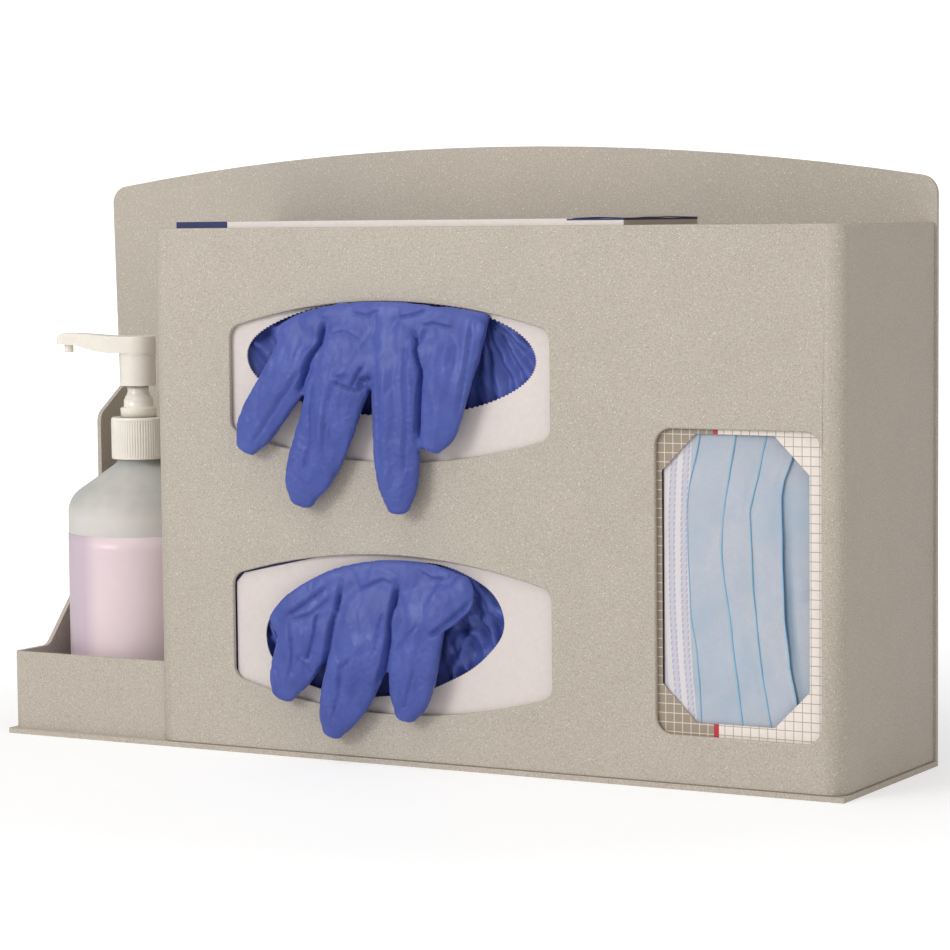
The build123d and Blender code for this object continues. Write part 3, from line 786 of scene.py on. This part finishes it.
def front_mask():
    (_, y0, z0), (_, _, z1) = box_mm("front_mask")
    rows, flats = [], []
    for z in np.linspace(z0, z1, 150):
        path = mask_row(z, y0 + 0.55)
        rows.append([(x, y, z) for x, y in path])
        steps = np.linalg.norm(np.diff(np.array(path), axis=0), axis=1)
        flats.append(np.concatenate([[0], np.cumsum(steps)]))
    obj = sheet_of("folded_mask", rows, welded_fabric((2.9, 5.4, 8.9, 11.3), 2.7, 12.6))
    mark_mask(obj.data, rows, flats)
    modify(obj, "SUBSURF", levels=1, render_levels=1)
    dress(obj, "dispenser", "front_mask")


def mask_pile(node):
    """The masks behind the front one: thin folded slabs, none quite in line."""
    (x0, y0, z0), (x1, y1, z1) = box_mm(node)
    pitch, verts, faces = 2.3, [], []
    for k in range(int((y1 - y0) / pitch)):
        near, far = y0 + k * pitch + 0.15, y0 + (k + 1) * pitch - 0.25
        left, right = x0 + random.uniform(0, 1.6), x1 - random.uniform(0, 1.6)
        top = z1 - random.uniform(0, 2.5)
        base = len(verts)
        verts += [(x, y, z) for y in (near, far) for x, z in
                  ((left, z0), (right, z0), (right, top), (left, top))]
        faces += [(base, base + 1, base + 2, base + 3), (base + 7, base + 6, base + 5, base + 4)]
        faces += [(base + (c + 1) % 4, base + c, base + 4 + c, base + 4 + (c + 1) % 4)
                  for c in range(4)]
    obj = piece("mask_pile", np.array(verts) * MM, faces, looks["mask_fabric"])
    modify(obj, "BEVEL", width=0.6 * MM, segments=3)
    dress(obj, "dispenser", node)


front_mask()
mask_pile("mask_stack")


# ---- bottle and pump
def arc(centre, radius, start, stop, steps):
    """(radius, z) points on an arc, its angles in degrees from the horizontal."""
    return [(centre[0] + radius * math.cos(math.radians(a)),
             centre[1] + radius * math.sin(math.radians(a)))
            for a in np.linspace(start, stop, steps)]


def blown_bottle():
    """The bottle, open at its neck; returns its radius, axis and foot."""
    (x0, y0, foot), (x1, _, top) = box_mm("bottle")
    radius = (x1 - x0) / 2
    centre = (x0 + radius, y0 + radius)
    neck, wall, ease = 11.0, 1.2, 14.0
    spring = foot + 107.76             # where the shoulder's curve starts
    lean = 56                          # how far the curve turns before the straight slope
    outer = ([(20, foot + 1.4), (30, foot + 1.2), (33, foot + 0.3)]
             + arc((radius - 2.2, foot + 2.2), 2.2, -90, 0, 6)
             + [(radius, z) for z in np.linspace(foot + 8, spring - 6, 12)]
             + arc((radius - ease, spring), ease, 0, lean, 16)
             + [(neck + 2.2, foot + 131.2)] + arc((neck + 3.4, foot + 134.6), 3.4, 236, 180, 5)
             + [(neck, foot + 140), (neck, top)])
    inner = ([(neck - wall, top), (neck - wall, foot + 132.4)]
             + arc((radius - ease, spring), ease - wall, lean, 0, 12)
             + [(radius - wall, foot + 4), (radius - 4, foot + wall + 1), (20, foot + wall + 1.2)])
    obj = lathe("bottle_blown", outer + inner, centre, looks["frosted_bottle"])
    dress(obj, "dispenser", "bottle")
    return radius, centre, foot


def ribbed_cap(centre):
    (_, _, foot), (_, _, top) = box_mm("closure_cap")
    cap, hole, count = 14.0, 7.1, 64

    def ribs(angle, r, z):
        inside = cap - 0.5 < r and foot + 1 < z < top - 1.3
        return 0.42 * max(0, math.cos(count * angle)) ** 0.6 if inside else 0.06 * (r > cap - 0.5)
    skin = ([(cap - 1.6, top - 1.6), (cap - 1.6, foot), (cap - 0.2, foot),
             (cap, foot + 0.2), (cap, foot + 0.9), (cap, foot + 1.3)]
            + [(cap, z) for z in np.linspace(foot + 4, top - 4, 6)]
            + [(cap, top - 1.6), (cap, top - 1.1)]
            + arc((cap - 0.9, top - 0.9), 0.9, 0, 90, 6) + [(hole, top)])
    obj = lathe("cap_ribbed", skin, centre, looks["pump_plastic"], 8 * count, ribs, True)
    dress(obj, "cap", "closure_cap")


def turned_collar(centre):
    """The stepped collar that holds the pump's stem, standing on the cap."""
    (_, _, plug_foot), (_, _, top) = box_mm("pump_collar")
    cap_top = box_mm("closure_cap")[1][2]
    bore, plug, step, body = 5.3, 6.2, 9.0, 7.4
    profile = ([(bore, plug_foot), (plug, plug_foot), (plug, cap_top + 0.05),
                (step, cap_top + 0.05)]
               + arc((step - 0.2, cap_top + 4.4), 0.4, 0, 90, 4)
               + [(body + 0.4, cap_top + 5.0), (body, cap_top + 5.3), (body, cap_top + 8.4)]
               + arc((body - 0.4, cap_top + 8.6), 0.4, 0, 80, 4)
               + arc((body + 2.2, cap_top + 13.4), 4.2, 228, 182, 8)
               + [(bore + 0.1, top), (bore, top)])
    obj = lathe("collar_turned", profile, centre, looks["pump_plastic"], ring=True)
    dress(obj, "pump_body", "pump_collar")


def label(radius, centre, foot):
    """The bottle's wrapped label: thin film, its ends a little apart at the back."""
    low, high, over = foot + 17.6, foot + 97.5, 0.12
    # painted light: middle and half width, in radians, of the paler part that faces the lamps
    painted_light_span = (-1.05, 0.55)
    around = radius + over
    rows = [[(centre[0] + around * math.cos(a), centre[1] + around * math.sin(a), z)
             for a in np.linspace(math.radians(95), math.radians(445), 140)]
            for z in np.linspace(low, high, 12)]
    obj = sheet_of("bottle_label", rows, film(centre, painted_light_span))
    modify(obj, "SOLIDIFY", thickness=0.1 * MM, offset=0)
    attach(obj, "dispenser")


def skirt_seam(centre):
    """The pressed-on seam between the pump head and its skirt: a thin raised ring."""
    skirt, height, proud = 9.1, 16.5, 0.22
    (_, _, skirt_foot), _ = box_mm("actuator_head")
    seam = skirt_foot + height - 0.5
    profile = [(skirt - 0.5, seam - 0.55), (skirt, seam - 0.5), (skirt + proud, seam - 0.3),
               (skirt + proud, seam + 0.3), (skirt, seam + 0.5), (skirt - 0.5, seam + 0.55)]
    obj = lathe("skirt_seam", profile, centre, looks["pump_plastic"], ring=True)
    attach(obj, "head")


bottle_radius, bottle_axis, bottle_foot = blown_bottle()
ribbed_cap(bottle_axis)
turned_collar(bottle_axis)
label(bottle_radius, bottle_axis, bottle_foot)
skirt_seam(bottle_axis)


# ---- drawn gloves
AROUND = 30                             # points around a finger
DEEPER, PROUDER = 1.35, 1.3             # how much stronger folds and lips are made than listed


def tube(rows):
    """Closed flattened tube through (x, y, z, half width, half thickness) rows, in mm."""
    rows = np.array(rows, float)
    along = np.gradient(rows[:, :3], axis=0)
    along /= np.linalg.norm(along, axis=1)[:, None]
    verts = []
    for (x, y, z, wide, deep), t in zip(rows, along):
        out = np.array([0, -1.0, 0])
        out -= t * (out @ t)
        out /= np.linalg.norm(out)
        across = np.cross(t, out)
        for k in range(AROUND):
            a = 2 * math.pi * k / AROUND
            c, s = math.cos(a), math.sin(a)
            c = math.copysign(abs(c) ** 0.85, c)
            s = math.copysign(abs(s) ** 0.8, s)
            verts.append((np.array((x, y, z)) + across * wide * c + out * deep * s) * MM)
    ends = [list(range(AROUND))[::-1], [(len(rows) - 1) * AROUND + k for k in range(AROUND)]]
    return piece("tube", verts, ends + quads(len(rows), AROUND, closed=True))


def finger(sections, depth_of, forward, thick):
    """A finger from its tip: (x, z, half width) sections, hanging by depth_of its height."""
    rows = [(x, depth_of(z) - forward, z, half * 1.06 + 0.5, thick * (0.8 if i == 0 else 1))
            for i, (x, z, half) in enumerate(sections)]
    rows = through(rows, 7)
    start, along = rows[0], rows[1][:3] - rows[0][:3]
    along /= np.linalg.norm(along)
    tip = []
    for turn in (86, 70, 52, 34, 16):
        r = math.radians(turn)
        centre = start[:3] - along * start[3] * 0.5 * math.sin(r)
        tip.append((*centre, start[3] * math.cos(r) ** 0.8, start[4] * math.cos(r) ** 0.8))
    return tube(tip + list(rows))


def beside(where, points):
    """For each place: how far it is from a line, to its left or right, and its share of the line."""
    best = np.full(len(where), 1e9)
    side = np.zeros(len(where))
    share = np.zeros(len(where))
    lengths = np.linalg.norm(np.diff(points, axis=0), axis=1)
    gone = 0.0
    for a, b, length in zip(points, points[1:], lengths):
        d = (b - a) / length
        s = np.clip((where - a) @ d, 0, length)
        gap = where - a - s[:, None] * d
        dist = np.linalg.norm(gap, axis=1)
        near = dist < best
        best[near] = dist[near]
        side[near] = (d[0] * gap[:, 1] - d[1] * gap[:, 0])[near]
        share[near] = ((gone + s) / lengths.sum())[near]
        gone += length
    return best, np.sign(side) * best, share


def crease(co, facing, points, depth, width, lip=0.0):
    """Presses a sharp fold along (x, z) points into the front; a lip rises on its left.

    A negative depth raises a ridge, with a flat facet on each side."""
    best, signed, share = beside(co[:, [0, 2]], np.array(points, float) * MM)
    fade = np.clip(np.sin(np.pi * np.clip(share, 0.02, 0.98)) * 2.2, 0, 1)
    w = width * MM
    valley = np.clip(1 - best / (1.6 * w), 0, 1)
    slope = np.clip(1 - signed / (6 * w), 0, 1) * (signed > 0)
    co[:, 1] += (depth * valley - lip * slope) * MM * fade * facing


def crumple(p, seed):
    """Height of creased film at p, in mm: facets, long down the glove, that meet in ridges."""
    bent = noise.noise_vector(p / 15) * 0.6
    q = Vector((p.x / 10 + seed, p.y / 10, p.z / 20)) + bent
    return 1.4 * noise.voronoi(q)[0][0] - 0.3 * noise.voronoi(q * 2.4)[0][0]


def drape(z, rows):
    """Depth at height z, between (z, y) rows."""
    zs, ys = zip(*rows)
    return float(np.interp(z, zs, ys))


def settle(obj, hold, growth, frames):
    """Lets the mesh move as cloth that has grown: it buckles where hold(point) is low."""
    group = obj.vertex_groups.new(name="hold")
    for vertex in obj.data.vertices:
        group.add([vertex.index], hold(vertex.co / MM), "REPLACE")
    cloth = obj.modifiers.new("cloth", "CLOTH")
    cloth.settings.quality = 6
    cloth.settings.mass = 0.05
    cloth.settings.tension_stiffness = 12
    cloth.settings.compression_stiffness = 12
    cloth.settings.shear_stiffness = 4
    cloth.settings.bending_stiffness = 0.02
    cloth.settings.vertex_group_mass = "hold"
    cloth.settings.pin_stiffness = 0.6
    cloth.settings.shrink_min = -growth
    cloth.settings.effector_weights.gravity = 0.25
    cloth.collision_settings.use_collision = False
    cloth.point_cache.frame_start = 1
    cloth.point_cache.frame_end = frames
    for frame_number in range(1, frames + 1):
        bpy.context.scene.frame_set(frame_number)
    keep(obj)
    bpy.context.scene.frame_set(1)


def glove(name, node, fingers, palm, rows, folds, seed):
    """A drawn glove: fingers and palm bands made one skin, buckled as cloth, then folded."""
    parts = [finger(sections, lambda z: drape(z, rows), forward, thick)
             for sections, forward, thick in fingers]
    parts += [tube(through([(x, drape(z, rows) - 0.6, z, half, thick)
                            for x, z, half, thick in band], 8)) for band in palm]
    obj = joined(name, parts)
    modify(obj, "REMESH", mode="VOXEL", voxel_size=0.0012, use_smooth_shade=True)
    modify(obj, "SMOOTH", factor=0.5, iterations=5)
    top = max(z for z, _ in rows)
    settle(obj, lambda p: min(1.0, 0.4 + max(0.0, 1 - (top - p.z) / 60)), 0.04, 12)
    modify(obj, "SUBSURF", levels=1, render_levels=1)
    co = coords(obj)
    facing = np.clip(-normals(obj)[:, 1] * 1.6, 0, 1)
    for points, depth, width, lip in folds:
        crease(co, facing, points, DEEPER * depth, width, PROUDER * lip)
    small = np.array([crumple(Vector(p) / MM, seed) for p in co])
    co[:, 1] += (small - small.mean()) * MM * facing
    set_coords(obj, co)
    obj.data.materials.clear()
    obj.data.materials.append(looks["nitrile"])
    obj.data.shade_smooth()
    dress(obj, "dispenser", node)


glove(
    "drawn_glove_upper", "dispensed_glove_upper",
    [([(-77.8, 149.1, 5.3), (-74.0, 156.4, 9.1), (-66.6, 167.2, 10.5), (-57.2, 179.6, 11.2),
       (-47.4, 193.9, 12.0), (-41.0, 202.0, 10.5)], 0.4, 3.6),
     ([(-46.2, 124.6, 5.9), (-44.2, 133.2, 10.7), (-37.4, 147.6, 13.2), (-30.7, 163.9, 14.2),
       (-26.4, 176.1, 14.6), (-20.3, 189.2, 15.2), (-15.2, 202.2, 16.0), (-12.5, 214.6, 16.0)],
      1.4, 4.2),
     ([(7.1, 122.8, 5.2), (7.0, 131.9, 9.1), (6.6, 144.8, 11.0), (6.2, 159.8, 11.2),
       (5.9, 179.6, 11.0), (5.5, 196.5, 10.8), (4.6, 214.6, 11.2)], 1.9, 4.4),
     ([(24.8, 151.8, 4.7), (27.4, 159.2, 9.3), (29.9, 171.2, 11.3), (33.4, 185.0, 12.2),
       (36.4, 198.8, 12.8), (38.5, 214.5, 12.2)], 0.6, 4.0)],
    [[(-60, 197, 9.5, 2.4), (-46, 200.5, 13, 3.0), (-28, 203, 14.5, 3.4), (-5, 204, 15, 3.6),
      (20, 203, 14.5, 3.4), (40, 200.5, 13, 3.0), (50, 198, 10.5, 2.4)],
     [(-47, 193, 5, 3.2), (-30, 190, 8, 4.2), (-5, 188, 9, 4.6), (20, 192, 9, 4.4),
      (38, 192, 8, 3.6)]],
    [(120, -60), (184, -60), (193, -58.8), (203, -56.2), (210, -53.6), (214, -51.9),
     (218, -49.4), (222, -46.8)],
    [([(-47.7, 174.7), (-40.9, 190.9), (-35.4, 199.0), (-33.8, 210.1)], 3.2, 1.2, 0.8),
     ([(-74.1, 149.2), (-66.1, 159.1), (-54.9, 174.5), (-43.9, 187.8), (-38.5, 196.0)],
      0.7, 1.1, 0.5),
     ([(18.6, 153.1), (19.3, 169.0), (20.4, 186.8), (16.0, 204.5)], 3.4, 1.1, 0.9),
     ([(14.9, 206.5), (18.3, 198.6), (22.4, 207.5)], 1.0, 0.9, 0.5),
     ([(39.0, 165.4), (42.5, 178.3), (44.9, 195.0), (45.7, 210.0)], 0.9, 0.9, 0.5),
     ([(-1.1, 134.6), (-1.3, 164.5), (-1.6, 182.5)], 0.45, 1.0, 0.25),
     ([(12.4, 137.0), (13.4, 164.9), (12.9, 184.7), (12.4, 200.5)], 0.7, 1.0, 0.4),
     ([(-31.4, 147.8), (-29.9, 172.0), (-26.2, 180.1), (-16.7, 186.2)], 0.9, 1.1, 0.6),
     ([(-44.2, 135.2), (-38.5, 153.6), (-38.7, 167.7), (-36.8, 185.9)], 0.8, 1.3, 0.4),
     ([(-26.8, 181.6), (-16.8, 178.0), (-11.0, 176.8)], 1.3, 0.8, 0.8),
     ([(-16.8, 177.7), (-13.2, 184.3), (-10.2, 189.3)], 1.4, 0.9, 0.8),
     ([(-10.4, 176.8), (-12.1, 181.8), (-5.1, 183.9)], 1.6, 1.0, 0.8),
     ([(-26.2, 183.1), (-20.3, 184.2)], 0.7, 0.6, 0.4),
     ([(-19.2, 213.7), (-10.4, 212.0), (-4.0, 215.0)], 0.8, 0.8, 0.5),
     ([(6.4, 211.1), (16.2, 212.9), (21.9, 215.6)], 0.8, 0.8, 0.5),
     ([(19.0, 207.5), (25.3, 209.0), (36.6, 206.6)], 0.8, 0.8, 0.6),
     ([(-30.6, 203.1), (-21.1, 205.2), (-11.8, 200.3)], 0.5, 1.6, 0.5),
     ([(-4.6, 213.3), (-5.2, 204.3), (-11.9, 194.3)], 0.5, 1.8, 0.4),
     ([(-76, 147), (-64, 170), (-51, 189), (-46, 203)], -0.9, 3.2, 0.0),
     ([(-41, 128), (-34, 150), (-30, 172)], -0.9, 3.2, 0.0),
     ([(3, 124), (3.5, 160), (2, 196)], -0.9, 3.0, 0.0),
     ([(28, 154), (33, 180), (35, 205)], -0.8, 3.2, 0.0)],
    1)
glove(
    "drawn_glove_lower", "dispensed_glove_lower",
    [([(-59.0, 31.3, 5.9), (-56.6, 38.4, 9.5), (-51.0, 49.0, 12.3), (-45.4, 61.5, 13.8),
       (-41.0, 72.8, 13.4), (-38.0, 79.0, 10.5)], 0.4, 3.6),
     ([(-31.0, 14.8, 4.9), (-28.8, 21.4, 8.9), (-23.4, 33.4, 12.5), (-16.6, 49.0, 14.2),
       (-13.0, 63.2, 14.4), (-11.3, 77.4, 14.0), (-10.2, 90.4, 13.0)], 1.4, 4.2),
     ([(8.8, 25.2, 5.1), (10.8, 32.0, 9.1), (13.2, 44.7, 11.5), (15.4, 59.8, 12.1),
       (16.8, 74.8, 12.0), (16.4, 89.6, 11.5)], 0.7, 4.2),
     ([(22.4, 67.6, 4.2), (27.0, 72.8, 7.4), (33.4, 80.1, 9.0), (35.0, 83.6, 9.0),
       (32.5, 87.0, 7.5)], 3.0, 3.0)],
    [[(-63, 61, 8, 2.4), (-50, 68, 13.5, 3.0), (-26, 76.5, 17, 3.4), (0, 81, 17, 3.6),
      (20, 83.5, 13.5, 3.2), (38, 83, 9, 2.4)],
     [(-50, 58, 8, 3.2), (-32, 60, 12, 4.0), (-5, 66, 10, 4.2), (12, 68, 8, 3.6)]],
    [(8, -60), (56, -60), (68, -58.6), (78, -56.4), (86, -54.0), (91, -52.2), (95, -49.8),
     (100, -46.8)],
    [([(-42.8, 37.3), (-36.7, 42.7), (-31.6, 55.2), (-28.4, 72.5), (-25.8, 86.7)], 2.8, 1.1, 0.9),
     ([(-55.4, 69.1), (-45.7, 75.6), (-33.5, 84.4)], 1.0, 1.0, 0.8),
     ([(-54.2, 66.6), (-41.0, 71.3), (-30.0, 80.5)], 0.8, 0.9, 0.6),
     ([(-55.3, 36.5), (-51.6, 46.9), (-52.0, 55.0), (-55.4, 66.0)], 0.9, 0.9, 0.7),
     ([(-38.0, 73.5), (-38.8, 61.8), (-43.1, 49.4), (-48.5, 51.1)], 1.2, 1.0, 0.8),
     ([(-49.7, 51.1), (-42.6, 45.4), (-39.9, 41.6)], 1.0, 1.0, 0.7),
     ([(-6.2, 37.5), (-1.4, 47.9), (1.4, 62.0), (2.4, 74.1), (4.2, 88.1)], 3.0, 1.1, 0.9),
     ([(-5.1, 53.7), (-3.7, 66.8), (-0.7, 75.0)], 0.7, 0.8, 0.5),
     ([(-28.8, 20.9), (-25.0, 36.3), (-24.3, 46.5), (-15.3, 53.0)], 0.9, 1.0, 0.6),
     ([(-16.8, 86.5), (-15.7, 83.6), (-3.1, 88.7), (3.2, 86.0)], 0.8, 0.8, 0.6),
     ([(7.5, 28.3), (11.0, 30.6), (17.0, 48.9)], 0.5, 0.9, 0.4),
     ([(4.3, 54.1), (11.5, 62.5), (17.9, 68.8)], 0.6, 1.0, 0.4),
     ([(22.5, 62.9), (29.6, 67.7), (39.6, 76.0), (45.1, 82.1)], 1.6, 1.1, 0.0),
     ([(16.5, 93.1), (22.2, 89.9), (29.0, 90.2)], 0.8, 0.8, 0.6),
     ([(-57, 34), (-49, 50), (-44, 66)], -0.9, 3.2, 0.0),
     ([(-28, 18), (-19, 42), (-13, 64)], -0.9, 3.2, 0.0),
     ([(11, 28), (14, 52), (16, 76)], -0.8, 3.0, 0.0)],
    2)


# ---- gloves in the cartons
def rumple(x, z, seed):
    """Height of crumpled film at (x, z) mm: sharp folds, warped and of mixed size."""
    warp = noise.noise_vector(Vector((x / 26, z / 26, seed))) * 0.5
    q = Vector(((x + 0.6 * z) / 9, (z - 0.5 * x) / 18, seed * 2)) + warp
    return 2.4 * noise.voronoi(q)[0][0] - 0.8 * noise.voronoi(q * 2.3)[0][0] - 0.3


BED = 7.0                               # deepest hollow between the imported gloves


def packed(name, node, shape, seed):
    """The gloves still in a carton: a block with a crumpled front."""
    (x0, y0, z0), (x1, y1, z1) = box_mm(node)
    cols, rows = 230, 120
    verts = []
    for j in range(rows + 1):
        for i in range(cols + 1):
            x, z = x0 + (x1 - x0) * i / cols, z0 + (z1 - z0) * j / rows
            rim = min(1, 8 * min(i, cols - i) / cols, 6 * min(j, rows - j) / rows)
            lift = shape(x, z, rumple(x, z, seed))
            verts.append((x * MM, (y0 + 0.15 + max(0.0, BED - lift) * rim) * MM, z * MM))
    faces = quads(rows + 1, cols + 1)
    rim = ([i for i in range(cols + 1)]
           + [j * (cols + 1) + cols for j in range(1, rows + 1)]
           + [rows * (cols + 1) + i for i in range(cols - 1, -1, -1)]
           + [j * (cols + 1) for j in range(rows - 1, 0, -1)])
    base = len(verts)
    for k in rim:
        verts.append((verts[k][0], y1 * MM, verts[k][2]))
    for k in range(len(rim)):
        n = (k + 1) % len(rim)
        faces.append((rim[n], rim[k], base + k, base + n))
    faces.append(tuple(base + k for k in range(len(rim))))
    obj = piece(name, verts, faces, looks["nitrile"])
    dress(obj, "dispenser", node)


def upper_shape(x, z, r):
    fan = math.atan2(z - 214, x - 46)
    side = math.exp(-((x - 66) / 24) ** 2)
    rays = side * (1 - 2 * abs((fan * 4.2 + 0.12 * r) % 1 - 0.5))
    ends = min(1, max(0, (abs(x + 4) - 44) / 12))
    return 1.0 + 3.4 * r * (0.35 + 0.65 * ends) * (1 - 0.6 * side) + 3.4 * rays + 1.8 * ends


def lower_shape(x, z, r):
    ends = min(1, max(0, (abs(x + 14) - 32) / 12))
    return 0.8 + 5.2 * r * (0.3 + 0.7 * ends) + 1.6 * ends


packed("packed_gloves_upper", "glove_stack_upper", upper_shape, 3.1)
packed("packed_gloves_lower", "glove_stack_lower", lower_shape, 8.7)


# ---- floor
def white_floor():
    """A pale floor that takes soft shadows; away from the object the camera sees it as white."""
    mesh = bpy.data.meshes.new("floor")
    mesh.from_pydata([(-6, -6, 0), (6, -6, 0), (6, 6, 0), (-6, 6, 0)], [], [(0, 1, 2, 3)])
    obj = bpy.data.objects.new("floor", mesh)
    bpy.context.scene.collection.objects.link(obj)
    look = Look("floor", Roughness=0.6, Specular_IOR_Level=0.2)
    look.colour(look.between(look.noise(3, 2, 0.5), grey(0.90), grey(0.92)))
    away = look.node("ShaderNodeVectorMath", {0: look.place()}, operation="LENGTH")
    far = look.fade(away.outputs["Value"], 0.25, 1.1, 0.35)
    glow = look.node("ShaderNodeEmission", {"Strength": 1.45}).outputs[0]
    seen = look.node("ShaderNodeLightPath").outputs["Is Camera Ray"]
    fade = look.node("ShaderNodeMixShader", {
        0: look.math("MULTIPLY", far, seen), 1: look.shader.outputs[0], 2: glow}).outputs[0]
    look.tree.links.new(fade, look.tree.nodes["Material Output"].inputs["Surface"])
    mesh.materials.append(look.mat)
    return obj


floor = white_floor()
